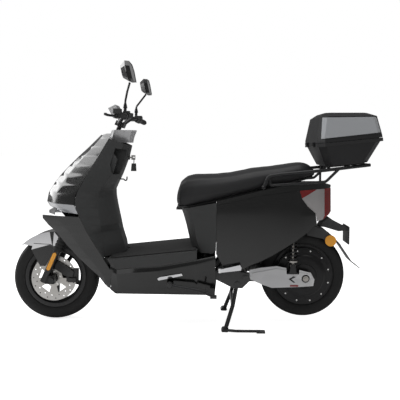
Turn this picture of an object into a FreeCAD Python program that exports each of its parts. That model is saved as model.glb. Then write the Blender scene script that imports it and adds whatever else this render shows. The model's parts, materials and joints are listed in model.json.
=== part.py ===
import FreeCAD, Part
import math
import os

V = FreeCAD.Vector

# ---------------------------------------------------------------- driving sizes (mm, +X forward, +Y left, +Z up)
FIT = 0.05              # radial clearance of a shaft in its bore
GAP = 0.5               # half of the joint between two body panels
SKIN = 3.0              # wall of the moulded panels
TYRE_R = 233.0          # 90/90-12 tyre
TYRE_W = 90.0
RIM_R = 166.0           # rim flange
BEAD_R = 152.0
BEAD_HALF = 27.5
FRONT_AXLE = V(761.5, 0, 233)
REAR_AXLE = V(-598.5, 0, 267.0)
RAKE = 23.0             # steering axis, degrees from vertical
AXIS_TOP = V(412, 0, 1103)
STEERER_R = 13.0
HEAD_TUBE_R = 24.0
LEG_Y = 88.0            # fork legs, half spacing
CLAMP_R = 26.0          # fork clamp, outside radius round each leg
LEG_OFFSET = 20.0       # fork legs ahead of the steering axis
STANCHION_R = 15.0
SLIDER_R = 19.0
AXLE_R = 7.0
DISC_R = 122.0
DISC_T = 4.0
DISC_Y = 57.0
BAR_R = 11.0
BAR_END_Y = 345.0
GRIP_LENGTH = 112.0
GRIP_WALL = 4.5
FRAME_TUBE_R = 14.0
RAIL_Y = 110.0          # floor rails, half spacing
FLOOR_FRONT = V(446, 0, 369)
FLOOR_REAR = V(-20, 0, 421)
FLOOR_HALF = 200.0
MAT_T = 5.0
MAT_HALF = 176.0
BELLY_Z = 180.0
BELLY_HALF = 148.0
BODY_HALF = 172.0       # half width of the seat column and side panels
SWING_PIVOT = V(-277, 0, 270)
SWING_PIN_R = 8.0
ARM_Y = 98.0            # inner face of the swing arms
ARM_T = 16.0
SHOCK_X = -530.0
SHOCK_Y = 118.0
SHOCK_LOW_Z = 333.0
SHOCK_TOP_Z = 575.0
SHOCK_PIN_R = 5.0
SHOCK_BUSH = 1.0        # rubber bush clearance at the lower eye
STAND_PIVOT = V(-235, 0, 235)
STAND_PIN_R = 8.0
STAND_TRACK = 168.0     # half track of the stand feet
SIDE_PIVOT = V(118, 198, 246)
SEAT_HINGE = V(97, 0, 619)
SEAT_PIN_R = 4.0
BOX_ORIGIN = V(-807.6, 0, 880)
BOX_TILT = 6.5
BOX_WALL = 4.0
BOX_HINGE_R = 3.0
BOX_SCREW_R = 3.3
RACK_R = 9.0
RACK_Y = 157.0


# ---------------------------------------------------------------- helpers
def box(x0, x1, y0, y1, z0, z1):
    return Part.makeBox(x1 - x0, y1 - y0, z1 - z0, V(x0, y0, z0))


def cyl(start, direction, radius, length):
    return Part.makeCylinder(radius, length, start, direction)


def rod(start, end, radius):
    return Part.makeCylinder(radius, (end - start).Length, start, end - start)


def ring(start, direction, outer, inner, length):
    return cyl(start, direction, outer, length).cut(cyl(start, direction, inner, length))


def polygon(points):
    return Part.makePolygon(points + [points[0]])


def prism_xz(points, y0, y1):
    face = Part.Face(polygon([V(x, y0, z) for x, z in points]))
    return face.extrude(V(0, y1 - y0, 0))


def prism_xy(points, z0, z1):
    face = Part.Face(polygon([V(x, y, z0) for x, y in points]))
    return face.extrude(V(0, 0, z1 - z0))


def prism_yz(points, x0, x1):
    face = Part.Face(polygon([V(x0, y, z) for y, z in points]))
    return face.extrude(V(x1 - x0, 0, 0))


def loft(sections):
    return Part.makeLoft([polygon(points) for points in sections], True, True)


def fuse(shapes):
    result = shapes[0].multiFuse(shapes[1:]) if len(shapes) > 1 else shapes[0]
    return result.removeSplitter()


def group(shapes):
    return Part.makeCompound(shapes)


def mirrored(shape):
    return shape.mirror(V(0, 0, 0), V(0, 1, 0))


def both(shape):
    return [shape, mirrored(shape)]


def revolved(profile, centre):
    """Solid of revolution about the Y axis through centre, from (radius, y) points."""
    face = Part.Face(polygon([centre + V(r, y, 0) for r, y in profile]))
    return face.revolve(centre, V(0, 1, 0), 360)


def offset_line(points, distance):
    """Parallel copy of an open line of (a, b) points, to its left."""
    moved = []
    for i, (a, b) in enumerate(points):
        normals = []
        for j in (i - 1, i):
            if 0 <= j < len(points) - 1:
                da = points[j + 1][0] - points[j][0]
                db = points[j + 1][1] - points[j][1]
                size = math.hypot(da, db)
                normals.append((-db / size, da / size))
        na = sum(n[0] for n in normals)
        nb = sum(n[1] for n in normals)
        size = math.hypot(na, nb)
        na, nb = na / size, nb / size
        stretch = distance / max(0.5, na * normals[0][0] + nb * normals[0][1])
        moved.append((a + na * stretch, b + nb * stretch))
    return moved


def whole_line(half):
    """Line across the centre from the half line that starts on it (y >= 0)."""
    left = [(x, -y) for x, y in reversed(half) if y > 0]
    return left + half


def squared(inner, outer):
    """Moves the two ends of the inner line so that they are level in x with the outer line's ends."""
    for end, beside in ((0, 1), (-1, -2)):
        dx = outer[beside][0] - outer[end][0]
        dy = outer[beside][1] - outer[end][1]
        if abs(dx) > 0.4 * abs(dy):
            shift = outer[end][0] - inner[end][0]
            inner[end] = (outer[end][0], inner[end][1] + shift * dy / dx)
    return inner


def skin_z(stations, wall):
    """Thin panel through level lines: stations are (z, [(x, y), ...]); wall grows to the left."""
    sections = []
    for z, line in stations:
        inner = squared(offset_line(line, wall), line)
        sections.append([V(x, y, z) for x, y in line + inner[::-1]])
    return loft(sections)


def path_wire(points, bend):
    """Straight runs joined by tangent arcs of one bend radius."""
    edges = []
    last = points[0]
    for i in range(1, len(points) - 1):
        corner = points[i]
        before = (points[i - 1] - corner).normalize()
        after = (points[i + 1] - corner).normalize()
        angle = before.getAngle(after)
        if math.pi - angle < 0.01:
            continue
        setback = bend / math.tan(angle / 2)
        middle = (before + after).normalize()
        start = corner + before * setback
        end = corner + after * setback
        centre = corner + middle * (bend / math.sin(angle / 2))
        top = centre - middle * bend
        edges.append(Part.makeLine(last, start))
        edges.append(Part.Arc(start, top, end).toShape())
        last = end
    edges.append(Part.makeLine(last, points[-1]))
    return Part.Wire(edges)


def tube(points, radius, bend=40.0):
    path = path_wire(points, bend)
    first = (points[1] - points[0]).normalize()
    section = Part.Wire([Part.makeCircle(radius, points[0], first)])
    return path.makePipeShell([section], True, False)


def turned(shape, centre, axis, degrees):
    copy = shape.copy()
    copy.rotate(centre, axis, degrees)
    return copy


def at_height(table, z):
    """Value from (z, value) rows by straight interpolation."""
    rows = sorted(table)
    if z <= rows[0][0]:
        return rows[0][1]
    for (z0, v0), (z1, v1) in zip(rows, rows[1:]):
        if z <= z1:
            return v0 + (v1 - v0) * (z - z0) / (z1 - z0)
    return rows[-1][1]


UP = V(-math.sin(math.radians(RAKE)), 0, math.cos(math.radians(RAKE)))
AHEAD = V(math.cos(math.radians(RAKE)), 0, math.sin(math.radians(RAKE)))
Y = V(0, 1, 0)
X = V(1, 0, 0)
Z = V(0, 0, 1)
AXLE_DOWN = (FRONT_AXLE - AXIS_TOP).dot(UP)
AXLE_AHEAD = (FRONT_AXLE - AXIS_TOP).dot(AHEAD)


def steer(along, ahead=0.0, side=0.0):
    """Point along the steering axis from its top, ahead of it and to the side."""
    return AXIS_TOP + UP * along + AHEAD * ahead + V(0, side, 0)


# ---------------------------------------------------------------- outlines of the body, by height
CREST = [(1025, 524), (1000, 548), (950, 597), (900, 650), (850, 699), (800, 745), (750, 781), (700, 809), (650, 817)]
SEAM_X = [(1025, 452), (1000, 464), (950, 490), (900, 514), (850, 541), (800, 565), (750, 588), (700, 611),
          (650, 615), (605, 594), (581, 583), (500, 543), (454, 516), (412, 491), (367, 463), (337, 431), (200, 431)]
SEAM_Y = [(1025, 92), (1000, 100), (950, 116), (900, 133), (850, 153), (800, 172), (750, 191), (700, 207),
          (650, 215), (600, 215), (500, 205), (454, 197), (412, 192), (367, 188), (337, 186), (200, 158)]
SHIELD_BACK = [(1000, 352), (955, 359), (900, 372), (850, 390), (800, 409), (755, 430), (719, 446), (683, 445),
               (634, 436), (584, 425), (508, 407), (464, 393), (439, 382), (370, 372)]
TOE_DEPTH = [(1000, 34), (760, 40), (700, 62), (540, 70), (500, 92), (370, 96)]
TOE_Y = [(1000, 84), (900, 108), (760, 140), (700, 160), (540, 168), (500, 150), (370, 140)]
WELL_FRONT = [(604, 800), (572, 797), (537, 766), (499, 723), (433, 668), (369, 607), (313, 546), (272, 498),
              (231, 466), (212, 447)]
COLUMN_FRONT = [(680, 88), (619, 74), (600, 66), (539, 48), (468, 31), (424, 15), (372, 0)]


def seat_base_z(x):
    """Lower edge of the seat."""
    return 636.0 + (56.0 - x) * 0.2555


# ---------------------------------------------------------------- front body panels
def front_cowl():
    stations = []
    for z in (1025, 1000, 950, 900, 850, 800, 750, 700, 652):
        crest = at_height(CREST, z)
        seam = at_height(SEAM_X, z) + GAP
        side = at_height(SEAM_Y, z)
        half = [(crest, 0), (crest - 13, 0.3 * side), (seam + 0.62 * (crest - seam), 0.66 * side), (seam, side)]
        stations.append((z, whole_line(half)))
    skin = skin_z(stations, SKIN)
    trim = prism_xz([(380, 1060), (524, 1012), (560, 1060)], -150, 150)
    return skin.cut(trim)


def headlight_housing():
    stations = []
    for z, nose in ((650.5, 816), (626, 800), (606, 764)):
        seam = at_height(SEAM_X, z) + GAP
        side = at_height(SEAM_Y, z)
        half = [(nose, 0), (nose - 12, 62), (seam + 0.55 * (nose - seam), 0.72 * side), (seam, side)]
        stations.append((z, whole_line(half)))
    skin = skin_z(stations, SKIN)
    return skin.cut(box(700, 900, -78, 78, 612.4, 644.6))


def headlight_lens():
    stations = []
    for z, nose in ((644, 812.5), (626, 800), (613, 775)):
        half = [(nose, 0), (nose - 12, 62), (nose - 23, 76)]
        stations.append((z, whole_line(half)))
    return skin_z(stations, 4.0)


def headlight_reflector():
    """Back plate with two cups and the posts that carry the lens."""
    cups = [Part.makeCone(8, 14, 20, V(737, y, 628.5), X) for y in (-34, 34)]
    cores = [Part.makeCone(6, 12, 20, V(740, y, 628.5), X) for y in (-34, 34)]
    posts = [cyl(V(737, y, 628.5), X, 3.5, 45.4) for y in (-56, 56)]
    plate = box(734, 738, -70, 70, 615, 642)
    return fuse([plate] + cups + posts).cut(fuse(cores))


def steering_reach(depth):
    """Room that the fork clamp and legs sweep as they turn, down to a depth below the axis top."""
    reach = math.hypot(LEG_OFFSET, LEG_Y + CLAMP_R) + 8
    return cyl(steer(-depth), UP, reach, depth - 470)


def front_lip():
    """Bright lip under the nose, with the shelf that fixes it."""
    half = [(797, 0), (790, 70), (735, 146)]
    rim = skin_z([(z, whole_line(half)) for z in (605.4, 590.8)], SKIN)
    shelf = prism_xy([(700, -144), (734, -144), (788, -69), (795, 0), (788, 69), (734, 144), (700, 144)], 602.4, 605.4)
    return fuse([rim, shelf.cut(steering_reach(700))])


def front_lower(side):
    stations = []
    for z in (590, 572, 537, 499, 433, 369, 313, 272, 231, 213):
        front = at_height(WELL_FRONT, z)
        seam = at_height(SEAM_X, z) + GAP
        edge = at_height(SEAM_Y, z)
        front_y = min(149.0, edge - 8)
        middle = 0.45 * seam + 0.55 * front
        line = [(front, front_y), (middle, 0.45 * edge + 0.55 * front_y + 5), (seam, edge)]
        stations.append((z, line))
    panel = skin_z(stations, SKIN)
    return panel if side > 0 else mirrored(panel)


def inner_fender():
    line = [(588, 576), (560, 545), (505, 470), (470, 380), (448, 300), (437, 216)]
    outer = offset_line(line, 4.0)
    tab = box(446, 452, 120, 168.8, 290, 310)
    web = box(446, 490, 150, 153, 292, 369.5)
    sides = steering_reach(820).cut(box(300, 900, -48, 48, 200, 900))
    return fuse([prism_xz(line + outer[::-1], -128, 128).cut(sides)] + both(fuse([tab, web])))


def leg_shield():
    stations = []
    for z in (1000, 955, 900, 850, 800, 755, 719, 683, 634, 584, 540, 500, 464, 430, 400, 367, 340):
        stations.append((z, shield_line(z, 0.0)))
    skin = skin_z(stations, SKIN)
    top = prism_xz([(300, 1010), (300, 948), (350, 958), (470, 998), (520, 1010)], -220, 220)
    mat_line = prism_xz([(300, floor_z(300) + MAT_T + 1), (300, 300), (600, 300), (600, 352),
                         (446, floor_z(446) + MAT_T + 1)], -230, 230)
    outer = prism_xz([(421, 300), (600, 300), (600, 395), (421, 395)], FLOOR_HALF - 21, 230)
    pocket = glove_window()
    lock = cyl(V(330, 0, 895), X, LOCK_R + FIT, 90)
    hook = box(330, 460, -4.2, 4.2, 769.8, 778.2)
    skin = skin.cut(fuse([top, mat_line]))
    return skin.cut(pocket).cut(lock).cut(hook)


def floor_z(x):
    return FLOOR_REAR.z + (x - FLOOR_REAR.x) * (FLOOR_FRONT.z - FLOOR_REAR.z) / (FLOOR_FRONT.x - FLOOR_REAR.x)


LOCK_R = 13.0
POCKET = [(376, 938), (430, 946), (452, 858), (440, 806), (404, 806), (384, 870)]


def glove_window():
    return prism_xz(POCKET, 52, 132).common(box(300, 475, 52, 132, 800, 950))


def shield_line(z, wall):
    """Level line of the rider's side of the leg shield, wall inside its face."""
    seam = at_height(SEAM_X, z) - GAP
    side = at_height(SEAM_Y, z)
    back = at_height(SHIELD_BACK, z)
    mid_x = back + at_height(TOE_DEPTH, z)
    mid_y = min(at_height(TOE_Y, z), side - 9)
    half = [(back, 0), (back + 3, 0.34 * mid_y), (mid_x, mid_y), (seam, side)]
    return offset_line([(x, -y) for x, y in whole_line(half)], wall)


def glove_bin():
    sections = []
    for z in (955, 900, 850, 800, 755):
        line = shield_line(z, SKIN + 0.4)
        sections.append([V(x, y, z) for x, y in line] + [V(700, line[-1][1], z), V(700, line[0][1], z)])
    inside = loft(sections)
    outer = prism_xz([(360, 950), (470, 950), (496, 800), (380, 796)], 44, 112)
    inner = prism_xz([(340, 946), (466, 946), (491, 804), (340, 800)], 48, 108)
    return outer.common(inside).cut(inner)


# ---------------------------------------------------------------- floor
def floor_board():
    top = [(FLOOR_REAR.x, FLOOR_REAR.z), (FLOOR_FRONT.x, FLOOR_FRONT.z)]
    low = [(430, 345), (424, 334), (392, 321), (329, 328), (172, 341), (FLOOR_REAR.x, 377)]
    outer = prism_xz(top + low, -FLOOR_HALF, FLOOR_HALF)
    under = [(FLOOR_REAR.x - 5, floor_z(FLOOR_REAR.x) - 10), (400, floor_z(400) - 10), (400, 300), (FLOOR_REAR.x - 5, 300)]
    hollow = prism_xz(under, -FLOOR_HALF + 5, FLOOR_HALF - 5)
    shell = outer.cut(hollow)
    ends = [(FLOOR_REAR.x, FLOOR_HALF), (410, FLOOR_HALF), (FLOOR_FRONT.x, 186), (FLOOR_FRONT.x, 260), (FLOOR_REAR.x, 260)]
    corner = prism_xy(ends, 300, 440)
    tube_notch = box(396, 460, -26, 26, 300, 380)
    return shell.cut(fuse(both(corner) + [tube_notch]))


def floor_mat():
    side = [(FLOOR_REAR.x + 8, floor_z(FLOOR_REAR.x + 8) + 0.1), (436, floor_z(436) + 0.1),
            (436, floor_z(436) + MAT_T), (FLOOR_REAR.x + 8, floor_z(FLOOR_REAR.x + 8) + MAT_T)]
    plate = prism_xz(side, -MAT_HALF, MAT_HALF)
    corners = [(400, MAT_HALF), (436, 150), (436, 190), (400, 190)]
    notch = box(366, 450, -58, 58, 340, 460)
    return plate.cut(fuse(both(prism_xy(corners, 340, 460)) + [notch]))


SKIRT_TOP = [(430, 333), (424, 332), (392, 319), (329, 326), (172, 339), (-20, 375), (-117, 396)]


def skirt_layer(near, far):
    """Layer that follows the lower side of the body, from near to far outside its face."""
    sections = []
    for x, top in SKIRT_TOP:
        low = 184.6 if x < 411 else 196.0
        edge = 187 if x > 411 else 197
        face = [(edge - 6, top), (edge + 2, top - 24), (BELLY_HALF + 2, low)]
        inner = offset_line(face, near)
        outer = offset_line(face, far)
        sections.append([V(x, y, z) for y, z in outer + inner[::-1]])
    return loft(sections)


def side_skirt(side):
    """Lower gloss panel, with a slot for the side stand's arm on the left."""
    panel = skirt_layer(-SKIN, 0.0)
    p = SIDE_PIVOT
    slot = box(p.x - 17, p.x + 17, 120, 230, p.z - 15, p.z - 5)
    return panel.cut(slot) if side > 0 else mirrored(panel)


def belly_pan():
    line = [(437, 209), (408, BELLY_Z + 4), (-112, BELLY_Z + 4), (-119, 252)]
    outer = offset_line(line, 4.0)
    tray = prism_xz(line + outer[::-1], -BELLY_HALF + 2, BELLY_HALF - 2)
    return fuse([tray, box(-108, 404, -BELLY_HALF - 1.5, BELLY_HALF + 1.5, BELLY_Z, BELLY_Z + 4)])


def skirt_trims():
    shape = [(52, 290), (58, 302), (172, 281), (184, 272), (178, 262), (150, 268)]
    return group(both(skirt_layer(0.3, 4.5).common(prism_xz(shape, 120, 240))))


# ---------------------------------------------------------------- rear body panels
def column_line(z):
    front = at_height(COLUMN_FRONT, z)
    return [(front, 0), (front - 6, 84), (front - 48, 146), (-119 + GAP, BODY_HALF)]


def seat_column():
    stations = [(z, whole_line(column_line(z))) for z in (680, 619, 600, 539, 468, 424, 385)]
    skin = skin_z(stations, SKIN)
    top = prism_xz([(120, 622), (74, 627), (-119, 669), (-119, 720), (120, 720)], -200, 200)
    foot = prism_xz([(120, 300), (120, 427), (18, 427), (-23, 427), (-23, 402), (-100, 402), (-125, 425),
                     (-200, 425), (-200, 300)], -200, 200)
    lug_slot = box(40, 120, -31, 31, 600, 660)
    return skin.cut(top).cut(foot).cut(lug_slot)


def side_line(z):
    tuck = at_height([(300, 16), (600, 0), (780, 14)], z)
    return [(-119 - GAP, BODY_HALF - tuck), (-350, BODY_HALF + 4 - tuck), (-550, 152 - tuck), (-656, 116 - tuck)]


SIDE_PANEL = [(-119.5, 655), (-240, 681), (-355, 709), (-503, 729), (-557, 737), (-569, 694), (-603, 651),
              (-647, 614), (-655, 560), (-645, 548), (-601, 512), (-547, 476), (-482, 435), (-413, 394),
              (-361, 368), (-298, 342), (-262, 322), (-160, 330), (-119.5, 400)]


def side_panel(side):
    skin = skin_z([(z, side_line(z)) for z in (760, 600, 300)], -SKIN)
    panel = skin.common(prism_xz(SIDE_PANEL, 60, 240))
    return panel if side > 0 else mirrored(panel)


def tail_line(z):
    tuck = at_height([(300, 16), (600, 0), (780, 14)], z)
    return [(-656.5, 116 - tuck), (-700, 96 - tuck), (-744, 52 - tuck), (-750, 0)]


TAIL_TOP = [(-119.5, 655.8), (-240, 681.8), (-355, 709.8), (-503, 729.8), (-557, 737.8), (-740, 747.4), (-748, 762), (-700, 774),
            (-554, 767), (-480, 764), (-356, 737), (-240, 707), (-119.5, 676)]
TAIL_LAMP = [(-558.5, 736.6), (-570.6, 694.7), (-604.0, 652.4), (-648.2, 615.4), (-656.6, 572), (-690, 580), (-733, 606),
             (-760, 640), (-760, 746), (-740, 746.5)]


def tail_skin():
    lines = []
    for z in (780, 600, 500):
        half = side_line(z)[:3] + tail_line(z)
        half = half[::-1]
        lines.append((z, [(x, y) for x, y in whole_line(half)][::-1]))
    return lines


def tail_cover():
    skin = skin_z(tail_skin(), SKIN)
    band = skin.common(prism_xz(TAIL_TOP, -240, 240))
    return band


def tail_lamp():
    skin = skin_z(tail_skin(), 4.0)
    lens = skin.common(prism_xz(TAIL_LAMP, -240, 240))
    return lens


def tail_lamp_back():
    plate = prism_xz([(-662, 728), (-690, 740), (-726, 735), (-728, 640), (-712, 614), (-672, 596)], -34, 34)
    return plate


# ---------------------------------------------------------------- frame of tubes
def main_frame():
    head = cyl(steer(-545), UP, HEAD_TUBE_R, 215)
    down = tube([steer(-480), V(500, 0, 520), V(418, 0, 300), V(330, 0, 244)], 19.0, 60)
    cross = cyl(V(330, -RAIL_Y, 244), Y, FRAME_TUBE_R, 2 * RAIL_Y)
    rails = []
    for side in (-1, 1):
        y = side * RAIL_Y
        points = [V(330, y, 244), V(-80, y, 244), V(-172, y, 360), V(-205, side * 100, 560),
                  V(-290, side * 96, 650), V(-640, side * 62, 728)]
        rails.append(tube(points, FRAME_TUBE_R, 50))
        brace = [V(-150, y, 333), V(-248, side * 120, 292), V(SWING_PIVOT.x, side * 124, SWING_PIVOT.z)]
    bridge = cyl(V(-640, -62, 728), Y, 9, 124)
    seat_bridge = cyl(V(-215, -98, 571), Y, 9, 196)
    bore = cyl(steer(-560), UP, STEERER_R + FIT, 260)
    return fuse([head, down, cross, bridge, seat_bridge] + rails).cut(bore)


def pivot_plates():
    """Plates that carry the swing arm pin and the centre stand pin, welded to the rails."""
    outline = [(-118, 300), (-150, 318), (-240, 300), (-300, 290), (-300, 252), (-262, 214), (-215, 212), (-112, 262)]
    plate = prism_xz(outline, 126.0, 132.0)
    web = box(-150, -128, 124.2, 126.0, 262, 300)
    holes = fuse([cyl(V(SWING_PIVOT.x, 90, SWING_PIVOT.z), Y, SWING_PIN_R + FIT, 60),
                  cyl(V(STAND_PIVOT.x, 90, STAND_PIVOT.z), Y, STAND_PIN_R + FIT, 60)])
    return group(both(fuse([plate, web]).cut(holes)))


def battery_pack():
    return box(20, 300, -RAIL_Y + FRAME_TUBE_R + 0.5, RAIL_Y - FRAME_TUBE_R - 0.5, 192, 318)


def controller():
    body = box(-324, -224.6, -70, 70, 560, 606)
    fins = [box(-320 + 12 * i, -314 + 12 * i, -66, 66, 606, 616) for i in range(8)]
    return fuse([body] + fins)


def under_seat_bin():
    """Open bin hung from the seat column by two ears."""
    outer = loft([[V(-130, -78, 500), V(20, -70, 500), V(20, 70, 500), V(-130, 78, 500)],
                  [V(-150, -86, 618), V(44, -80, 618), V(44, 80, 618), V(-150, 86, 618)]])
    inner = loft([[V(-127, -75, 503), V(17, -67, 503), V(17, 67, 503), V(-127, 75, 503)],
                  [V(-147, -83, 619), V(41, -77, 619), V(41, 77, 619), V(-147, 83, 619)]])
    ears = [box(-70, -50, 76, 155.9, 606, 611)]
    return fuse([outer] + both(ears[0])).cut(inner)


# ---------------------------------------------------------------- tail fittings
def rear_mudguard():
    line = [(-596, 541), (-640, 541), (-700, 524), (-752, 482), (-796, 436)]
    outer = offset_line(line, -4.0)
    hood = prism_xz(line + outer[::-1], -62, 62)
    return fuse([hood, mud_blade()])


def mud_blade():
    line = [(-788, 446), (-826, 392), (-860, 342), (-905, 309)]
    outer = offset_line(line, -4.0)
    return prism_xz(line + outer[::-1], -55, 55)


def plate_bracket():
    arm = prism_xz([(-688, 534), (-706, 562), (-738, 584), (-768, 563), (-828, 533), (-836, 514), (-790, 509), (-716, 530)], -44, 44)
    hollow = prism_xz([(-690, 532), (-710, 557), (-738, 578), (-766, 558), (-822, 529), (-822, 490), (-700, 500)], -40, 40)
    hollow = hollow.cut(box(-716, -680, -50, 50, 500, 536))
    plate = box(-846, -840, -60, 60, 440, 536)
    neck = box(-841, -832, -44, 44, 514, 532)
    holes = fuse([cyl(V(-850, y, 520), X, PLATE_HOLE_R, 20) for y in (-PLATE_HOLES / 2, PLATE_HOLES / 2)])
    return fuse([arm.cut(hollow), plate, neck, box(-704, -688, -38, 38, 532.4, 537)]).cut(holes)


PLATE_HOLES = 96.0
PLATE_HOLE_R = 3.2


def tail_reflectors():
    disc = cyl(V(-741, 67.0, 461), Y, 30, 7)
    stud = cyl(V(-741, 65.6, 461), Y, 5, 2)
    return group(both(fuse([disc, stud])))


def reflector_arms():
    arm = prism_xz([(-612, 540), (-640, 540), (-700, 523), (-742, 494), (-772, 456), (-742, 434), (-700, 470), (-614, 487)],
                   62.4, 65.4)
    return group(both(arm))


# ---------------------------------------------------------------- rack and top box
def rear_rack():
    tubes = []
    for side in (-1, 1):
        y = side * RACK_Y
        upper = [V(-364, y, 752), V(-390, y, 812), V(-452, y, 823), V(-690, y, 848), V(-934, side * 118, 878)]
        lower = [V(-400, y, 764), V(-690, y, 787), V(-758, side * 150, 853)]
        tubes.append(tube(upper, RACK_R, 26))
        tubes.append(tube(lower, RACK_R - 1.5, 30))
        tubes.append(Part.makeSphere(RACK_R + 3, V(-364, y, 752)))
        tubes.append(rod(V(-400, y, 764), V(-396, y, 808), 7))
        tubes.append(rod(V(-660, y, 786), V(-660, y, 842), 6))
    tubes.append(cyl(V(-930, -120, 877.4), Y, 8, 240))
    holes = [cyl(V(x, y, -12), Z, BOX_SCREW_R, 20) for x in (-60, 60) for y in (-70, 70)]
    tubes.append(in_box_frame(box(-95, 95, -125, 125, -7, -0.3).cut(fuse(holes))))
    for x, z in ((-720, 850.6), (-860, 868.5)):
        under = BOX_ORIGIN.z - (x - BOX_ORIGIN.x) * math.tan(math.radians(BOX_TILT)) - 4
        tubes.extend([cyl(V(x, y, z - 4), Z, 9, under - z + 4) for y in (-85, 85)])
        half = 154 if x > -800 else 130
        tubes.append(box(x - 14, x + 14, -half, half, z - 7, z - 2))
    for side in (-1, 1):
        stay = [V(-590, side * 67, 733.4), V(-590, side * 67, 779), V(-590, side * RACK_Y, 779)]
        tubes.append(tube(stay, 6, 14))
    return fuse(tubes)


def in_box_frame(shape):
    copy = shape.copy()
    copy.translate(BOX_ORIGIN)
    copy.rotate(BOX_ORIGIN, Y, BOX_TILT)
    return copy


def box_section(x0, x1, half, z0, z1, cut):
    """Eight-sided level outline; z runs from z0 at x0 to z1 at x1."""
    corners = [(x0 + cut, -half), (x1 - cut, -half), (x1, -half + cut), (x1, half - cut),
               (x1 - cut, half), (x0 + cut, half), (x0, half - cut), (x0, -half + cut)]
    return [V(x, y, z0 + (z1 - z0) * (x - x0) / (x1 - x0)) for x, y in corners]


def box_base():
    outer = loft([box_section(-112, 112, 150, 0, 0, 34), box_section(-182, 150, 196, 112, 112, 34)])
    w = BOX_WALL
    inner = loft([box_section(-112 + w, 112 - w, 150 - w, w, w, 33),
                  box_section(-182.6 + w, 150.6 - w, 196.6 - w, 113, 113, 33)])
    rim = loft([box_section(-190, 156, 205, 106, 106, 34), box_section(-190, 156, 205, 124, 124, 34)])
    rim_hole = loft([box_section(-190 + 12, 156 - 12, 205 - 12, 100, 100, 33),
                     box_section(-190 + 12, 156 - 12, 205 - 12, 130, 130, 33)])
    shell = fuse([outer.cut(inner), rim.cut(rim_hole)])
    leaves = [box(150, 168, y - 26, y + 26, 106, 113.6) for y in (-90, 90)]
    catch = box(-196, -189, -16, 16, 108, 120)
    holes = fuse([cyl(V(x, y, -5), Z, BOX_SCREW_R, 15) for x in (-60, 60) for y in (-70, 70)])
    return in_box_frame(fuse([shell, catch] + leaves).cut(holes))


def box_hinge_pins():
    """Pins of the lid's hinges, each standing in two lugs screwed to the base."""
    hinges = []
    for y in (-90, 90):
        pin = cyl(V(164, y - 24, 126), Y, BOX_HINGE_R, 48)
        lugs = [box(157, 167, y + a - 5.8, y + a + 5.8, 114, 130) for a in (-18, 18)]
        hinges.append(fuse([pin] + lugs))
    return in_box_frame(group(hinges))


def lid_sections(grow):
    low = box_section(-189 - grow, 155 + grow, 204 + grow, 126, 126, 34)
    belt = box_section(-188 - grow, 154 + grow, 203 + grow, 142, 142, 34)
    top = box_section(-178 - grow, 118 + grow, 176 + grow, 240 + grow, 264 + grow, 30)
    crown = box_section(-140 - grow, 84 + grow, 130 + grow, 262 + grow, 284 + grow, 26)
    return low, belt, top, crown


def lid_solid(grow):
    low, belt, top, crown = lid_sections(grow)
    return fuse([loft([low, belt]), loft([belt, top]), loft([top, crown])])


def box_lid():
    outer = lid_solid(0)
    low, belt, top, crown = lid_sections(-BOX_WALL)
    cavity = fuse([loft([[p - V(0, 0, 4) for p in low], belt]), loft([belt, top]), loft([top, crown])])
    shell = outer.cut(cavity)
    barrels = []
    for y in (-90, 90):
        leaf = box(152, 164, y - 10, y + 10, 126.5, 132)
        barrel = cyl(V(164, y - 10, 126), Y, BOX_HINGE_R + 3, 20)
        barrels.append(fuse([leaf, barrel]))
    bore = cyl(V(164, -130, 126), Y, BOX_HINGE_R + FIT, 260)
    lug = box(-195.9, -184, -15.5, 15.5, 147, 155)
    pin = cyl(LATCH_PIN - Y * 23, Y, LATCH_PIN_R, 46)
    return in_box_frame(fuse([shell, lug, pin] + barrels).cut(bore))


def box_windows():
    low, belt, top, crown = lid_sections(0.0)
    skin = lid_solid(2.2).cut(lid_solid(0.2))
    window = prism_xz([(-178, 152), (136, 148), (112, 258), (-168, 234)], 120, 230)
    pane = skin.common(window)
    return in_box_frame(group(both(pane)))


LATCH_PIN = V(-195, 0, 151)
LATCH_PIN_R = 2.5


def box_latch():
    """Clasp that hangs on the lid and hooks over the catch of the base."""
    plate = box(-200, -196.3, -22, 22, 104, 144)
    ears = [box(-200, -191.8, side * 19 - 3, side * 19 + 3, 140, 153.8) for side in (-1, 1)]
    bore = cyl(LATCH_PIN - Y * 30, Y, LATCH_PIN_R + FIT, 60)
    return in_box_frame(fuse([plate] + ears).cut(bore))


# ---------------------------------------------------------------- seat
SEAT_ROWS = [(100, 692, 662, 46), (94, 722, 645, 76), (78, 770, 638, 104), (44, 798, 642, 124), (4, 808, 650, 136),
             (-108, 812, 677, 146), (-191, 820, 698, 146), (-274, 838, 719, 144), (-313, 847, 729, 142),
             (-413, 859, 754, 136), (-497, 872, 776, 128), (-569, 884, 794, 116), (-606, 880, 803, 104),
             (-638, 860, 811, 86), (-652, 838, 816, 60)]


def seat_ring(x, top, low, half, grow=0.0):
    """Cross section of the cushion at x: flat base, straight lower side, rounded shoulders."""
    high = top - low
    points = [(0.0, low), (half * 0.90, low), (half, low + 0.30 * high), (half * 0.97, low + 0.62 * high),
              (half * 0.82, low + 0.88 * high), (half * 0.52, low + 0.98 * high), (0.0, top)]
    left = [(-y, z) for y, z in points[1:-1]]
    return [V(x, y, z) for y, z in points + left[::-1]]


def seat_cushion():
    return loft([seat_ring(*row) for row in SEAT_ROWS])


def seat_pan():
    """Stiff tray right under the cushion."""
    sections = []
    for x, top, low, half in SEAT_ROWS[1:-1]:
        wide = 0.84 * half
        sections.append([V(x, -wide, low - 9.4), V(x, wide, low - 9.4), V(x, wide + 2, low - 0.4), V(x, -wide - 2, low - 0.4)])
    return loft(sections)


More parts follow.
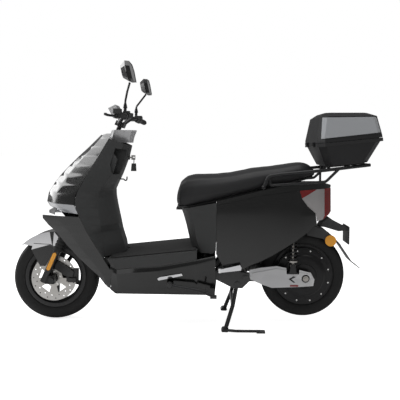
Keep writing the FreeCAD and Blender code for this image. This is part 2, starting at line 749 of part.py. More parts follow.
# ---------------------------------------------------------------- steering and handlebar
def steering_stem():
    steerer = cyl(steer(-602), UP, STEERER_R, 590)
    race = cyl(steer(-570), UP, HEAD_TUBE_R, 24.7)
    crown = box(-26, 44, -LEG_Y - 22, LEG_Y + 22, -602, -568)
    crown = turned(crown, V(0, 0, 0), Y, -RAKE)
    crown.translate(AXIS_TOP)
    bores = [cyl(steer(-610, LEG_OFFSET, s * LEG_Y), UP, STANCHION_R + FIT, 30) for s in (-1, 1)]
    clamp = box(-24, 24, -36, 36, -40, -13)
    clamp = turned(clamp, V(0, 0, 0), Y, -RAKE)
    clamp.translate(AXIS_TOP)
    nut = cyl(steer(-329.7), UP, 22, 14)
    body = fuse([steerer, race, crown, clamp, nut])
    return body.cut(fuse(bores)).cut(cyl(BAR_CENTRE - V(0, 60, 0), Y, BAR_R + FIT, 120))


BAR_CENTRE = AXIS_TOP + UP * -26.0


def fork_tubes():
    return group([cyl(steer(-872, LEG_OFFSET, s * LEG_Y), UP, STANCHION_R, 292) for s in (-1, 1)])


BAR_PATH = [V(0, 0, 0), V(0, 62, 0), V(-34, 112, 34), V(-56, 146, 42), V(-80, BAR_END_Y, 26)]


def bar_point(index, side=1.0):
    p = BAR_PATH[index]
    return BAR_CENTRE + V(p.x, p.y * side, p.z)


def handlebar():
    left = [bar_point(i) for i in (4, 3, 2, 1)]
    right = [bar_point(i, -1.0) for i in (1, 2, 3, 4)]
    return tube(left + right, BAR_R, 30)


GRIP_DIR = (BAR_PATH[4] - BAR_PATH[3]).normalize()


def along_grip(distance, side=1.0):
    """Point on the grip's axis, measured inwards from the bar end."""
    p = BAR_PATH[4] - GRIP_DIR * distance
    return BAR_CENTRE + V(p.x, p.y * side, p.z)


def grip_dir(side=1.0):
    return V(GRIP_DIR.x, GRIP_DIR.y * side, GRIP_DIR.z)


def grip_sleeve(side, clearance):
    start = along_grip(GRIP_LENGTH, side)
    axis = grip_dir(side)
    outer = [cyl(start, axis, BAR_R + GRIP_WALL, GRIP_LENGTH - 1), cyl(start, axis, BAR_R + GRIP_WALL + 3, 4)]
    bore = cyl(start - axis, axis, BAR_R + clearance, GRIP_LENGTH + 4)
    return fuse(outer).cut(bore)


def bar_ends():
    plugs = []
    for side in (1, -1):
        plugs.append(cyl(along_grip(-0.3, side), grip_dir(side), BAR_R + 2.5, 12))
    return group(plugs)


BUTTON_R = 4.0
BUTTON_OUT = 4.0        # how far a button stands out of its housing
BUTTON_IN = 4.0         # how far it reaches in
BUTTONS = {1: (24.0, 10.0), -1: (24.0,)}


def button_face(side, across):
    start = along_grip(GRIP_LENGTH + 40, side)
    return V(start.x - 24, start.y + side * across, start.z + 10)


def button(side, index):
    face = button_face(side, BUTTONS[side][index])
    return cyl(face - X * BUTTON_OUT, X, BUTTON_R, BUTTON_OUT + BUTTON_IN)


def switchgear(side):
    """Switch housing clamped on the bar, inboard of the grip."""
    start = along_grip(GRIP_LENGTH + 40, side)
    axis = grip_dir(side)
    body = cyl(start, axis, 21, 39)
    near = start.y + side * 1
    far = start.y + side * 34
    pod = box(start.x - 24, start.x + 8, min(near, far), max(near, far), start.z - 2, start.z + 22)
    bores = [cyl(start - axis * 20, axis, BAR_R + FIT, 80)]
    for across in BUTTONS[side]:
        bores.append(cyl(button_face(side, across), X, BUTTON_R + FIT, BUTTON_IN + 5))
    return fuse([body, pod]).cut(fuse(bores))


def lever_perch(side):
    """Brake lever perch with its reservoir."""
    start = along_grip(GRIP_LENGTH + 66, side)
    axis = grip_dir(side)
    clamp = cyl(start, axis, 18, 22)
    middle = start + axis * 11
    arm = box(middle.x + 6, middle.x + 58, middle.y - 9, middle.y + 9, middle.z - 14, middle.z + 8)
    tank = box(middle.x + 24, middle.x + 62, middle.y - 22, middle.y + 22, middle.z + 8, middle.z + 34)
    boss = cyl(V(middle.x + 4, middle.y, middle.z), Z, 8, 38)
    slot = box(middle.x + 38, middle.x + 70, middle.y - 30, middle.y + 30, middle.z - 9, middle.z + 3)
    pin = cyl(V(middle.x + 48, middle.y, middle.z - 14), Z, PERCH_PIN_R, 20)
    bore = cyl(start - axis * 20, axis, BAR_R + FIT, 80)
    body = fuse([clamp, arm, tank, boss]).cut(slot).cut(bore)
    return fuse([body, pin])


PERCH_PIN_R = 3.0


def perch_point(side):
    start = along_grip(GRIP_LENGTH + 66, side)
    middle = start + grip_dir(side) * 11
    return V(middle.x + 48, middle.y, middle.z - 3)


def brake_lever(side):
    p = perch_point(side)
    shape = [(-4, -8), (6, -9), (24, 10), (34, 40), (36, 92), (28, 150), (22, 152), (27, 92), (24, 44), (12, 20),
             (2, 10), (-4, 8)]
    points = [(p.x + a, p.y + side * b) for a, b in shape]
    blade = prism_xy(points if side > 0 else points[::-1], p.z - 5.7, p.z + 5.7)
    ball = cyl(V(p.x + 25, p.y + side * 153, p.z - 5.7), Z, 7, 11.4)
    hub = cyl(V(p.x, p.y, p.z - 5.7), Z, 8.5, 11.4)
    return fuse([blade, ball, hub]).cut(cyl(V(p.x, p.y, p.z - 20), Z, PERCH_PIN_R + FIT, 40))


def mirror_base(side):
    start = along_grip(GRIP_LENGTH + 66, side)
    middle = start + grip_dir(side) * 11
    return V(middle.x + 4, middle.y, middle.z + 38.3)


MIRROR_RISE = [V(0, 0, 0), V(0, 0, 34), V(-22, 66, 82), V(-40, 106, 118)]


def mirror_arm(side):
    base = mirror_base(side)
    points = [base + V(p.x, side * p.y, p.z) for p in MIRROR_RISE]
    return fuse([tube(points, 5.5, 24), Part.makeCone(12, 7, 24, base, Z)])


def mirror_point(side):
    base = mirror_base(side)
    p = MIRROR_RISE[3]
    return base + V(p.x, side * p.y, p.z)


def mirror_head_outline(grow):
    return [(-66 - grow, -38 - grow), (30, -44 - grow), (60 + grow, -30), (70 + grow, 26), (50, 52 + grow),
            (-40, 48 + grow), (-72 - grow, 20)]


def mirror_head(side):
    c = mirror_point(side) + V(0, side * 26, 46)
    rows = [(-20.0, 1.0), (2.0, 1.03), (30.0, 0.62)]
    sections = []
    for dx, k in rows:
        sections.append([V(c.x + dx + 0.22 * z * k, c.y + side * y * k, c.z + z * k) for y, z in mirror_head_outline(0)])
    shell = loft(sections)
    recess = loft([[V(c.x - 21 + 0.22 * z * k, c.y + side * y * k, c.z + z * k) for y, z in mirror_head_outline(0)]
                   for k in (0.94,)] +
                  [[V(c.x - 15 + 0.22 * z * k, c.y + side * y * k, c.z + z * k) for y, z in mirror_head_outline(0)]
                   for k in (0.94,)])
    return shell.cut(recess)


def mirror_glass(side):
    c = mirror_point(side) + V(0, side * 26, 46)
    sections = []
    for dx in (-18.0, -15.05):
        sections.append([V(c.x + dx + 0.22 * z * 0.92, c.y + side * y * 0.92, c.z + z * 0.92)
                         for y, z in mirror_head_outline(0)])
    return loft(sections)


def cover_ring(z, x0, x1, half, wall):
    """Level outline of the stem cover, wall inside its face."""
    return [V(x0 + wall, -half * 0.6 + wall * 0.6, z), V(x0 + 14 + wall, -half + wall, z), V(x1, -half + wall, z),
            V(x1 + 26 - wall, 0, z), V(x1, half - wall, z), V(x0 + 14 + wall, half - wall, z),
            V(x0 + wall, half * 0.6 - wall * 0.6, z)]


def stem_cover():
    """Light cover round the steering stem above the leg shield."""
    rows = [(977, 354, 466, 34), (1006, 350, 458, 44), (1046, 336, 446, 54)]
    outer = loft([cover_ring(z, x0, x1, half, 0) for z, x0, x1, half in rows])
    inner = loft([cover_ring(z, x0, x1, half, 4) for z, x0, x1, half in rows])
    spoke = box(424, 434, -49, 49, 1034, 1040)
    hole = cyl(steer(-200), UP, STEERER_R + FIT, 200)
    return fuse([outer.cut(inner), spoke, box(338, 450, -6, 6, 1034, 1040)]).cut(hole)


def display():
    body = box(-22, 22, -58, 58, -8, 52)
    screen = box(-23, -20, -44, 44, 4, 42)
    body = body.cut(box(-24, -19.5, -46, 46, 2, 44))
    post = box(-8, 8, -14, 14, -30, -8)
    return fuse([body, post]), screen


def place_display(shape):
    copy = shape.copy()
    copy = turned(copy, V(0, 0, 0), Y, 28)
    copy.translate(V(438, 0, 1128))
    return copy


# ---------------------------------------------------------------- front fork, fender and wheel
def fork_sliders():
    legs = []
    for s in (-1, 1):
        outer = cyl(steer(AXLE_DOWN - 30, LEG_OFFSET, s * LEG_Y), UP, SLIDER_R, 182)
        foot = box(-24, 24, s * LEG_Y - 14, s * LEG_Y + 14, -22, 22)
        foot.translate(FRONT_AXLE + V(10, 0, 0))
        boss = cyl(FRONT_AXLE + V(0, s * LEG_Y - 16, 0), Y, 18, 32)
        bore = cyl(steer(AXLE_DOWN - 4, LEG_OFFSET, s * LEG_Y), UP, STANCHION_R + FIT, 200)
        hole = cyl(FRONT_AXLE + V(0, s * LEG_Y - 40, 0), Y, AXLE_R + FIT, 80)
        leg = fuse([outer, foot, boss])
        if s > 0:
            ear = prism_xz([(770, 345), (690, 300), (650, 272), (656, 242), (700, 252), (775, 300)], 66, 75)
            leg = fuse([leg, ear])
        legs.append(leg.cut(bore).cut(hole))
    return group(legs)


def fork_boots():
    boots = []
    for s in (-1, 1):
        centre = steer(AXLE_DOWN + 152.3, LEG_OFFSET, s * LEG_Y)
        rings = [cyl(centre + UP * (i * 9.0), UP, 24.0 if i % 2 else 20.5, 9.0) for i in range(9)]
        boots.append(fuse(rings).cut(cyl(centre - UP, UP, STANCHION_R + 0.6, 90)))
    return group(boots)


def arc_points(radius, start, end, steps=10):
    """Points on a circle round the front axle; angles in degrees above forward."""
    result = []
    for i in range(steps + 1):
        a = math.radians(start + (end - start) * i / steps)
        result.append((FRONT_AXLE.x + radius * math.cos(a), FRONT_AXLE.z + radius * math.sin(a)))
    return result


def front_fender():
    top = arc_points(252, 44, 118) + arc_points(248.5, 44, 118)[::-1]
    crown = prism_xz(top, -57, 57)
    cheek = arc_points(252, 46, 100) + [(728, 440), (772, 397), (884, 407)]
    return fuse([crown] + both(prism_xz(cheek, 57, 60.5)))


def fender_stays():
    outline = [(750, 398), (786, 416), (876, 420), (884, 388), (836, 300), (806, 300), (777, 352)]
    stay = prism_xz(outline, 64.0, 68.4)
    bosses = [cyl(V(x, 60.7, z), Y, 7, 4) for x, z in ((860, 408), (800, 406))]
    return group(both(fuse([stay] + bosses)))


def side_reflectors():
    c = V(0, 0, 0)
    body = fuse([box(-40, 40, 0, 7, -10, 10), cyl(V(-40, 0, 0), Y, 10, 7), cyl(V(40, 0, 0), Y, 10, 7)])
    body = turned(body, c, Y, 90 - RAKE)
    post = cyl(V(0, -2, 0), Y, 5, 2)
    body = fuse([body, post])
    spot = steer(AXLE_DOWN + 95, LEG_OFFSET, LEG_Y + SLIDER_R + 2.0)
    body.translate(spot)
    return group(both(body))


def front_axle():
    shaft = cyl(FRONT_AXLE - V(0, 112, 0), Y, AXLE_R, 224)
    heads = [cyl(FRONT_AXLE + V(0, s * 108 - 4, 0), Y, 13, 8) for s in (-1, 1)]
    return fuse([shaft] + heads)


def brake_caliper():
    """Body that straddles the rim of the disc, with its piston housing outboard."""
    body = box(630, 692, 44, 65.7, 216, 286)
    piston = box(638, 680, 64, 80, 216, 238)
    slot = cyl(FRONT_AXLE + V(0, DISC_Y - 1.5, 0), Y, DISC_R + 2, DISC_T + 3)
    return fuse([body, piston]).cut(slot)


def tyre(centre, width, rim_half):
    profile = [(BEAD_R + 0.2, rim_half), (RIM_R + 0.6, rim_half + 1), (RIM_R + 3, width * 0.40), (180, width * 0.47),
               (198, width / 2), (216, width * 0.45),
               (228, width * 0.29), (TYRE_R, width * 0.08)]
    left = [(r, -y) for r, y in profile[::-1]]
    return revolved(profile + left, centre)


def front_rim():
    half = 33.0
    ring_profile = [(132, -14), (146, -half + 5), (146, -half), (RIM_R, -half), (RIM_R, -half + 3), (BEAD_R, -half + 4),
                    (BEAD_R - 4, -14), (BEAD_R - 4, 14), (BEAD_R, half - 4), (RIM_R, half - 3), (RIM_R, half),
                    (146, half), (146, half - 5), (132, 14)]
    rim = revolved(ring_profile, FRONT_AXLE)
    hub = cyl(FRONT_AXLE - V(0, 52, 0), Y, 30, 52 + DISC_Y)
    spokes = []
    for i in range(5):
        spoke = prism_xz([(20, -15), (136, -9), (136, 9), (20, 15)], -11, 11)
        spoke.translate(FRONT_AXLE)
        spokes.append(turned(spoke, FRONT_AXLE, Y, 18 + 72 * i))
    bore = cyl(FRONT_AXLE - V(0, 60, 0), Y, AXLE_R + FIT, 130)
    return fuse([rim, hub] + spokes).cut(bore)


def front_disc():
    disc = ring(FRONT_AXLE + V(0, DISC_Y, 0), Y, DISC_R, 22, DISC_T)
    windows = []
    for i in range(5):
        window = prism_xz([(46, -14), (78, -26), (78, 26), (46, 14)], DISC_Y - 1, DISC_Y + DISC_T + 1)
        window.translate(V(FRONT_AXLE.x, 0, FRONT_AXLE.z))
        windows.append(turned(window, FRONT_AXLE, Y, 54 + 72 * i))
    for i in range(30):
        a = math.radians(12 * i)
        r = 94 if i % 2 else 110
        spot = FRONT_AXLE + V(r * math.cos(a), DISC_Y - 1, r * math.sin(a))
        windows.append(cyl(spot, Y, 3.5, DISC_T + 2))
    return disc.cut(fuse(windows[:5])).cut(Part.makeCompound(windows[5:]))


def disc_bolts():
    bolts = []
    for i in range(5):
        a = math.radians(90 + 72 * i)
        spot = FRONT_AXLE + V(36 * math.cos(a), DISC_Y + DISC_T, 36 * math.sin(a))
        bolts.append(cyl(spot, Y, 5, 4))
    return group(bolts)


# ---------------------------------------------------------------- rear wheel, swing arm and shocks
DRUM_R = 150.0
DRUM_HALF = 56.0
STATOR_R = 118.0
COVER_BOLTS = 12
COVER_BOLT_R = 138.0


def rear_rim():
    half = 33.0
    side = [(DRUM_R - 14, -DRUM_HALF + 6), (DRUM_R, -DRUM_HALF + 6), (DRUM_R, -half), (RIM_R, -half),
            (RIM_R, -half + 3), (BEAD_R, -half + 4), (BEAD_R, half - 4), (RIM_R, half - 3), (RIM_R, half),
            (DRUM_R, half), (DRUM_R, DRUM_HALF - 6), (DRUM_R - 14, DRUM_HALF - 6), (DRUM_R - 14, 40),
            (STATOR_R + 6, 40), (STATOR_R + 6, -40), (DRUM_R - 14, -40)]
    return revolved(side, REAR_AXLE)


def motor_covers():
    bore = SWING_AXLE_R + FIT
    profile = [(bore, 44), (DRUM_R - 15, 44), (DRUM_R - 15, DRUM_HALF - 6), (DRUM_R - 2, DRUM_HALF - 6),
               (DRUM_R - 2, DRUM_HALF - 1), (DRUM_R - 6, DRUM_HALF + 1), (118, DRUM_HALF + 3), (104, DRUM_HALF + 14),
               (68, DRUM_HALF + 17), (64, DRUM_HALF + 22), (30, DRUM_HALF + 22), (26, DRUM_HALF + 25),
               (bore, DRUM_HALF + 25)]
    return group(both(revolved(profile, REAR_AXLE)))


SWING_AXLE_R = 8.0


def motor_bolts():
    bolts = []
    for i in range(COVER_BOLTS):
        a = math.radians(15 + 30 * i)
        spot = REAR_AXLE + V(COVER_BOLT_R * math.cos(a), DRUM_HALF + 1.9, COVER_BOLT_R * math.sin(a))
        bolts.append(cyl(spot, Y, 4.2, 4))
    return group(bolts + [mirrored(b) for b in bolts])


def motor_stator():
    return revolved([(SWING_AXLE_R + FIT, -38), (STATOR_R, -30), (STATOR_R, 30), (SWING_AXLE_R + FIT, 38)], REAR_AXLE)


def rear_axle():
    shaft = cyl(REAR_AXLE - V(0, 132, 0), Y, SWING_AXLE_R, 264)
    nuts = [cyl(REAR_AXLE + V(0, s * 122 - 6, 0), Y, 15, 12) for s in (-1, 1)]
    return fuse([shaft] + nuts)


def swingarm():
    outline = [(-262, 292), (-258, 258), (-300, 246), (-470, 244), (-600, 246), (-628, 256), (-628, 282),
               (-600, 292), (-500, 292), (-330, 290)]
    arms = [prism_xz(outline, s * (ARM_Y + ARM_T / 2) - ARM_T / 2, s * (ARM_Y + ARM_T / 2) + ARM_T / 2) for s in (-1, 1)]
    cross = box(-345, -312, -ARM_Y - 2, ARM_Y + 2, 250, 288)
    sleeve = cyl(V(SWING_PIVOT.x, -ARM_Y - ARM_T, SWING_PIVOT.z), Y, 17, 2 * (ARM_Y + ARM_T))
    lugs = []
    for s in (-1, 1):
        for y in (SHOCK_Y - 10, SHOCK_Y + 10):
            ear = prism_xz([(SHOCK_X - 20, 292), (SHOCK_X - 11, 344), (SHOCK_X + 11, 344), (SHOCK_X + 20, 292)],
                           s * y - 2.5, s * y + 2.5)
            lugs.append(ear)
        lugs.append(box(SHOCK_X - 20, SHOCK_X + 20, s * 117 - 13, s * 117 + 13.5, 292, 302))
        lugs.append(box(SHOCK_X - 20, SHOCK_X + 20, s * 106 - 7, s * 106 + 7, 286, 302))
        lugs.append(cyl(V(SHOCK_X, s * SHOCK_Y - 16, SHOCK_LOW_Z), Y, SHOCK_PIN_R, 32))
    pivot_bore = cyl(V(SWING_PIVOT.x, -140, SWING_PIVOT.z), Y, SWING_PIN_R + FIT, 280)
    axle_bore = cyl(REAR_AXLE - V(0, 140, 0), Y, SWING_AXLE_R + FIT, 280)
    return fuse(arms + [cross, sleeve] + lugs).cut(pivot_bore).cut(axle_bore)


def swing_pin():
    shaft = cyl(V(SWING_PIVOT.x, -138, SWING_PIVOT.z), Y, SWING_PIN_R, 276)
    heads = [cyl(V(SWING_PIVOT.x, s * 135.2 - 3, SWING_PIVOT.z), Y, 13, 6) for s in (-1, 1)]
    return fuse([shaft] + heads)


def arm_covers():
    outline = [(-296, 286), (-304, 258), (-366, 232), (-419, 215), (-568, 222), (-640, 228), (-646, 262),
               (-626, 298), (-552, 314), (-490, 322), (-444, 331), (-366, 322), (-300, 309)]
    plate = prism_xz(outline, ARM_Y + ARM_T, ARM_Y + ARM_T + 7)
    ridge = prism_xz([(-310, 292), (-356, 262), (-392, 284), (-500, 276), (-560, 262), (-632, 268), (-624, 290),
                      (-550, 304), (-440, 318)], ARM_Y + ARM_T + 7, ARM_Y + ARM_T + 12)
    pocket = fuse([cyl(REAR_AXLE + V(0, 100, 0), Y, 22, 60), cyl(V(SHOCK_X, 90, SHOCK_LOW_Z), Y, 30, 60)])
    chevron = prism_xz([(-546, 276), (-524, 262), (-544, 246), (-534, 244), (-508, 262), (-532, 280)], 110, 140)
    window = box(SHOCK_X - 34, SHOCK_X + 34, 104, 134, 290, 340)
    cover = fuse([plate, ridge]).cut(pocket).cut(window).cut(chevron)
    return group(both(cover))


def arm_accents():
    low = box(-560, -516, ARM_Y + ARM_T + 7.05, ARM_Y + ARM_T + 10, 224, 232)
    return group(both(low))


def shock_body():
    """Upper half: eye, damper body and spring seat."""
    eye = cyl(V(0, -7, SHOCK_TOP_Z), Y, 14, 14)
    top = cyl(V(0, 0, SHOCK_TOP_Z - 34), Z, 25, 10)
    neck = cyl(V(0, 0, SHOCK_TOP_Z - 26), Z, 6.4, 20)
    body = cyl(V(0, 0, SHOCK_TOP_Z - 120), Z, 13, 90)
    bore = cyl(V(0, 0, SHOCK_TOP_Z - 121), Z, SHOCK_ROD_R + FIT, 80)
    eye_bore = cyl(V(0, -20, SHOCK_TOP_Z), Y, SHOCK_PIN_R + FIT, 40)
    return fuse([eye, top, neck, body]).cut(bore).cut(eye_bore)


SHOCK_ROD_R = 6.0


def shock_rod():
    eye = cyl(V(0, -7, SHOCK_LOW_Z), Y, 14, 14)
    seat = cyl(V(0, 0, SHOCK_LOW_Z + 22), Z, 25, 8)
    stem = cyl(V(0, 0, SHOCK_LOW_Z + 8), Z, 6.4, 16)
    rod_part = cyl(V(0, 0, SHOCK_LOW_Z + 20), Z, SHOCK_ROD_R, 145)
    bore = cyl(V(0, -20, SHOCK_LOW_Z), Y, SHOCK_PIN_R + SHOCK_BUSH, 40)
    return fuse([eye, seat, stem, rod_part]).cut(bore)


def shock_spring():
    low = SHOCK_LOW_Z + 30.4
    high = SHOCK_TOP_Z - 34.4
    wire = 3.4
    turns = 9
    height = high - low - 2 * wire
    helix = Part.makeHelix(height / turns, height, 19.5)
    section = Part.Wire([Part.makeCircle(wire, V(19.5, 0, 0), V(0, 1, 0.1))])
    coil = Part.Wire(helix.Edges).makePipeShell([section], True, True)
    coil.translate(V(0, 0, low + wire))
    return coil


def at_shock(shape, side):
    copy = shape.copy()
    copy.translate(V(SHOCK_X, side * SHOCK_Y, 0))
    return copy


def shock_mounts():
    mounts = []
    for s in (-1, 1):
        pin = cyl(V(SHOCK_X, s * 113 - 14, SHOCK_TOP_Z), Y, SHOCK_PIN_R, 28)
        arm = tube([V(SHOCK_X, s * 103, SHOCK_TOP_Z - 6), V(SHOCK_X, s * 103, 612), V(SHOCK_X, s * 77.2, 688.6)], 7, 12)
        head = cyl(V(SHOCK_X, s * 128.3 - 1.5, SHOCK_TOP_Z), Y, 9, 3)
        mounts.append(fuse([pin, arm, head]))
    return group(mounts)


# ---------------------------------------------------------------- stands and pegs
def centre_stand():
    p = STAND_PIVOT
    parts = []
    for s in (-1, 1):
        knee = V(-212, s * 126, 118)
        foot = V(-176, s * (STAND_TRACK - 4), 12)
        parts.append(tube([V(p.x, s * 104, p.z), knee, foot], 11, 16))
        parts.append(cyl(V(p.x, s * 104 - 11, p.z), Y, 16, 22))
        pad = prism_xz([(-190, 4), (-184, 0), (-158, 0), (-152, 6), (-160, 16), (-186, 16)],
                       s * STAND_TRACK - 22, s * STAND_TRACK + 22)
        parts.append(pad)
    parts.append(cyl(V(-212, -124, 122), Y, 10, 248))
    tang = tube([V(-184, 186, 10), V(-226, 192, 9), V(-352, 198, 12)], 7, 20)
    pad = box(-378, -334, 186, 214, 6, 15)
    parts += [tang, pad, box(-190, -176, 168, 190, 4, 16)]
    bore = cyl(V(p.x, -160, p.z), Y, STAND_PIN_R + FIT, 320)
    return fuse(parts).cut(bore)


def stand_pin():
    shaft = cyl(V(STAND_PIVOT.x, -136, STAND_PIVOT.z), Y, STAND_PIN_R, 272)
    heads = [cyl(V(STAND_PIVOT.x, s * 135.2 - 3, STAND_PIVOT.z), Y, 13, 6) for s in (-1, 1)]
    return fuse([shaft] + heads)


def side_stand_bracket():
    p = SIDE_PIVOT
    plate = box(p.x - 16, p.x + 16, p.y - 13, p.y - 9, p.z - 20, p.z + 6)
    arm = box(p.x - 16, p.x + 16, RAIL_Y + 13.6, p.y - 12.5, p.z - 14, p.z - 6)
    pin = cyl(V(p.x, p.y - 10, p.z), Y, 5, 24)
    head = cyl(V(p.x, p.y + 11.3, p.z), Y, 9, 4)
    return fuse([plate, arm, pin, head])


def side_stand():
    p = SIDE_PIVOT
    hub = cyl(V(p.x, p.y - 8.7, p.z), Y, 14, 19.5)
    leg = tube([V(p.x - 8, p.y + 1, p.z - 4), V(-38, p.y + 6, 219), V(-104, p.y + 10, 192)], 7.5, 30)
    foot = box(-126, -92, p.y - 4, p.y + 22, 182, 195)
    hook = rod(V(-66, p.y + 8, 208), V(-72, p.y + 26, 238), 4)
    return fuse([hub, leg, foot, hook]).cut(cyl(V(p.x, p.y - 20, p.z), Y, 5 + FIT, 60))


PEG_PIVOT = V(-140, 190, 320)
PEG_PIN_R = 4.0


def peg_brackets():
    p = PEG_PIVOT
    ears = [box(p.x - 10, p.x + 12, p.y - 10, p.y + 10, z, z + 4) for z in (p.z - 16, p.z + 12)]
    back = box(p.x - 10, p.x + 12, p.y - 13, p.y - 9.7, p.z - 16, p.z + 16)
    arm = box(p.x - 6, p.x + 4, 126.0 + 6.2, p.y - 12.5, p.z - 16, p.z - 6)
    pin = cyl(V(p.x, p.y, p.z - 19), Z, PEG_PIN_R, 38)
    return group(both(fuse(ears + [back, arm, pin])))


def passenger_peg():
    p = PEG_PIVOT
    hub = cyl(V(p.x, p.y, p.z - 11.7), Z, 9, 23.4)
    bar = prism_xz([(p.x - 4, 311), (p.x - 4, 328), (-244, 352), (-252, 338), (-250, 324)], p.y - 8, p.y + 8)
    return fuse([hub, bar]).cut(cyl(V(p.x, p.y, p.z - 30), Z, PEG_PIN_R + FIT, 60))


# ---------------------------------------------------------------- lock, key, hook, buttons and hoses
LOCK_Z = 895.0
PLUG_R = 8.0


def ignition_lock():
    face = at_height(SHIELD_BACK, LOCK_Z)
    return ring(V(face - 6, 0, LOCK_Z), X, LOCK_R, PLUG_R + FIT, 46)


def ignition_key():
    """Key standing in the plug that it turns."""
    face = at_height(SHIELD_BACK, LOCK_Z)
    plug = cyl(V(face - 6, 0, LOCK_Z), X, PLUG_R, 36)
    blade = box(face - 16, face - 4, -1.2, 1.2, LOCK_Z - 4, LOCK_Z + 4)
    bow = box(face - 36, face - 14, -3, 3, LOCK_Z - 13, LOCK_Z + 13)
    eye = cyl(V(face - 28, -6, LOCK_Z), Y, 4.5, 12)
    return fuse([plug, blade, bow]).cut(eye)


def key_fob():
    """Split ring through the key's eye, with its fob."""
    face = at_height(SHIELD_BACK, LOCK_Z)
    top = LOCK_Z - 17.8
    loop = Part.makeTorus(15, 1.2, V(face - 28, 0, top), X)
    tag = prism_xz([(face - 40, top - 15), (face - 16, top - 15), (face - 13, top - 58), (face - 43, top - 58)], -4, 4)
    return fuse([loop, tag])


def bag_hook():
    arm = tube([V(500, 0, 774), V(402, 0, 774), V(384, 0, 760), V(382, 0, 788)], 3.5, 7)
    return arm


def seat_hinge_bracket():
    h = SEAT_HINGE
    pin = cyl(V(h.x, -29, h.z), Y, SEAT_PIN_R, 58)
    ears = [box(h.x - 45, h.x + 6, s * 26 - 3, s * 26 + 3, h.z - 7, h.z + 6) for s in (-1, 1)]
    plate = box(h.x - 45, h.x - 40, -50, 50, h.z - 27, h.z - 5)
    screws = [cyl(V(h.x - 45, s * 44, h.z - 16), X, 4, 7.4) for s in (-1, 1)]
    return fuse([pin, plate] + ears + screws)


def seat_pan_with_hinge():
    h = SEAT_HINGE
    leaf = box(h.x - 34, h.x, -20, 20, h.z + 5, h.z + 14)
    leaf = leaf.common(prism_xz([(h.x - 40, h.z + 5.5), (h.x + 5, h.z + 5.5), (h.x - 3, h.z + 14), (h.x - 40, h.z + 7)], -30, 30))
    knuckle = cyl(V(h.x, -20, h.z), Y, 7.0, 40)
    bore = cyl(V(h.x, -40, h.z), Y, SEAT_PIN_R + FIT, 80)
    return fuse([seat_pan(), leaf, knuckle]).cut(bore)


# ---------------------------------------------------------------- the assembly
screen_body, screen_glass = display()
screen_body = place_display(screen_body)
screen_glass = place_display(screen_glass)
brackets = [pivot_plates(), peg_brackets(), shock_mounts(), side_stand_bracket(), swing_pin(), stand_pin(),
            seat_hinge_bracket(), box_hinge_pins(), bag_hook(), ignition_lock()]
NODES = {
    "main_frame": main_frame(),
    "frame_brackets": group(brackets),
    "front_cowl": front_cowl(),
    "headlight": group([headlight_housing(), headlight_reflector(), headlight_lens()]),
    "bright_trims": group([front_lip(), skirt_trims()]),
    "front_lower_panels": group([front_lower(side).cut(leg_shield()) for side in (1, -1)]),
    "under_covers": group([inner_fender(), belly_pan()]),
    "leg_shield": leg_shield(),
    "storage_bins": group([glove_bin(), under_seat_bin()]),
    "floor_board": floor_board(),
    "floor_mat": floor_mat(),
    "side_skirts": group([side_skirt(1), side_skirt(-1)]),
    "power_units": group([battery_pack(), controller()]),
    "seat_column": seat_column(),
    "side_panels": group([side_panel(1), side_panel(-1)]),
    "tail_cover": tail_cover(),
    "tail_lamp": tail_lamp(),
    "rear_mudguard": group([rear_mudguard(), reflector_arms(), tail_reflectors()]),
    "plate_bracket": plate_bracket(),
    "rear_rack": rear_rack(),
    "box_base": box_base(),
    "box_lid": box_lid(),
    "box_windows": box_windows(),
    "box_latch": box_latch(),
    "seat_pan": seat_pan_with_hinge(),
    "seat_cushion": seat_cushion(),
    "steering_stem": group([steering_stem(), fork_tubes()]),
    "handlebar": group([handlebar(), bar_ends(), grip_sleeve(1, FIT)]),
    "bar_controls": group([switchgear(1), switchgear(-1), lever_perch(1), lever_perch(-1)]),
    "stem_cover": group([stem_cover(), screen_body, screen_glass]),
    "throttle_grip": grip_sleeve(-1, FIT),
    "brake_lever_left": brake_lever(1),
    "brake_lever_right": brake_lever(-1),
    "mirror_left": group([fuse([mirror_arm(1), mirror_head(1)]), mirror_glass(1)]),
    "mirror_right": group([fuse([mirror_arm(-1), mirror_head(-1)]), mirror_glass(-1)]),
    "fork_sliders": group([fork_sliders(), front_axle()]),
    "fork_boots": fork_boots(),
    "front_fender": group([front_fender(), fender_stays(), side_reflectors()]),
    "brake_caliper": brake_caliper(),
    "front_tyre": tyre(FRONT_AXLE, TYRE_W, BEAD_HALF),
    "front_rim": front_rim(),
    "front_disc": group([front_disc(), disc_bolts()]),
    "swingarm": swingarm(),
    "arm_covers": group([arm_covers(), arm_accents()]),
    "rear_axle": group([rear_axle(), motor_stator()]),
    "rear_tyre": tyre(REAR_AXLE, TYRE_W, BEAD_HALF),
    "rear_rim": rear_rim(),
    "motor_covers": group([motor_covers(), motor_bolts()]),
    "shock_bodies": group([at_shock(shock_body(), 1), at_shock(shock_body(), -1)]),
    "shock_rods": group([at_shock(shock_rod(), 1), at_shock(shock_rod(), -1)]),
    "shock_springs": group([at_shock(shock_spring(), 1), at_shock(shock_spring(), -1)]),
    "centre_stand": centre_stand(),
    "side_stand": side_stand(),
    "peg_left": passenger_peg(),
    "peg_right": mirrored(passenger_peg()),
    "ignition_key": ignition_key(),
    "key_fob": key_fob(),
    "horn_button": button(1, 0),
    "beam_button": button(1, 1),
    "start_button": button(-1, 0),
}

os.makedirs("parts", exist_ok=True)
for name, shape in NODES.items():
    shape.exportStep("parts/" + name + ".step")
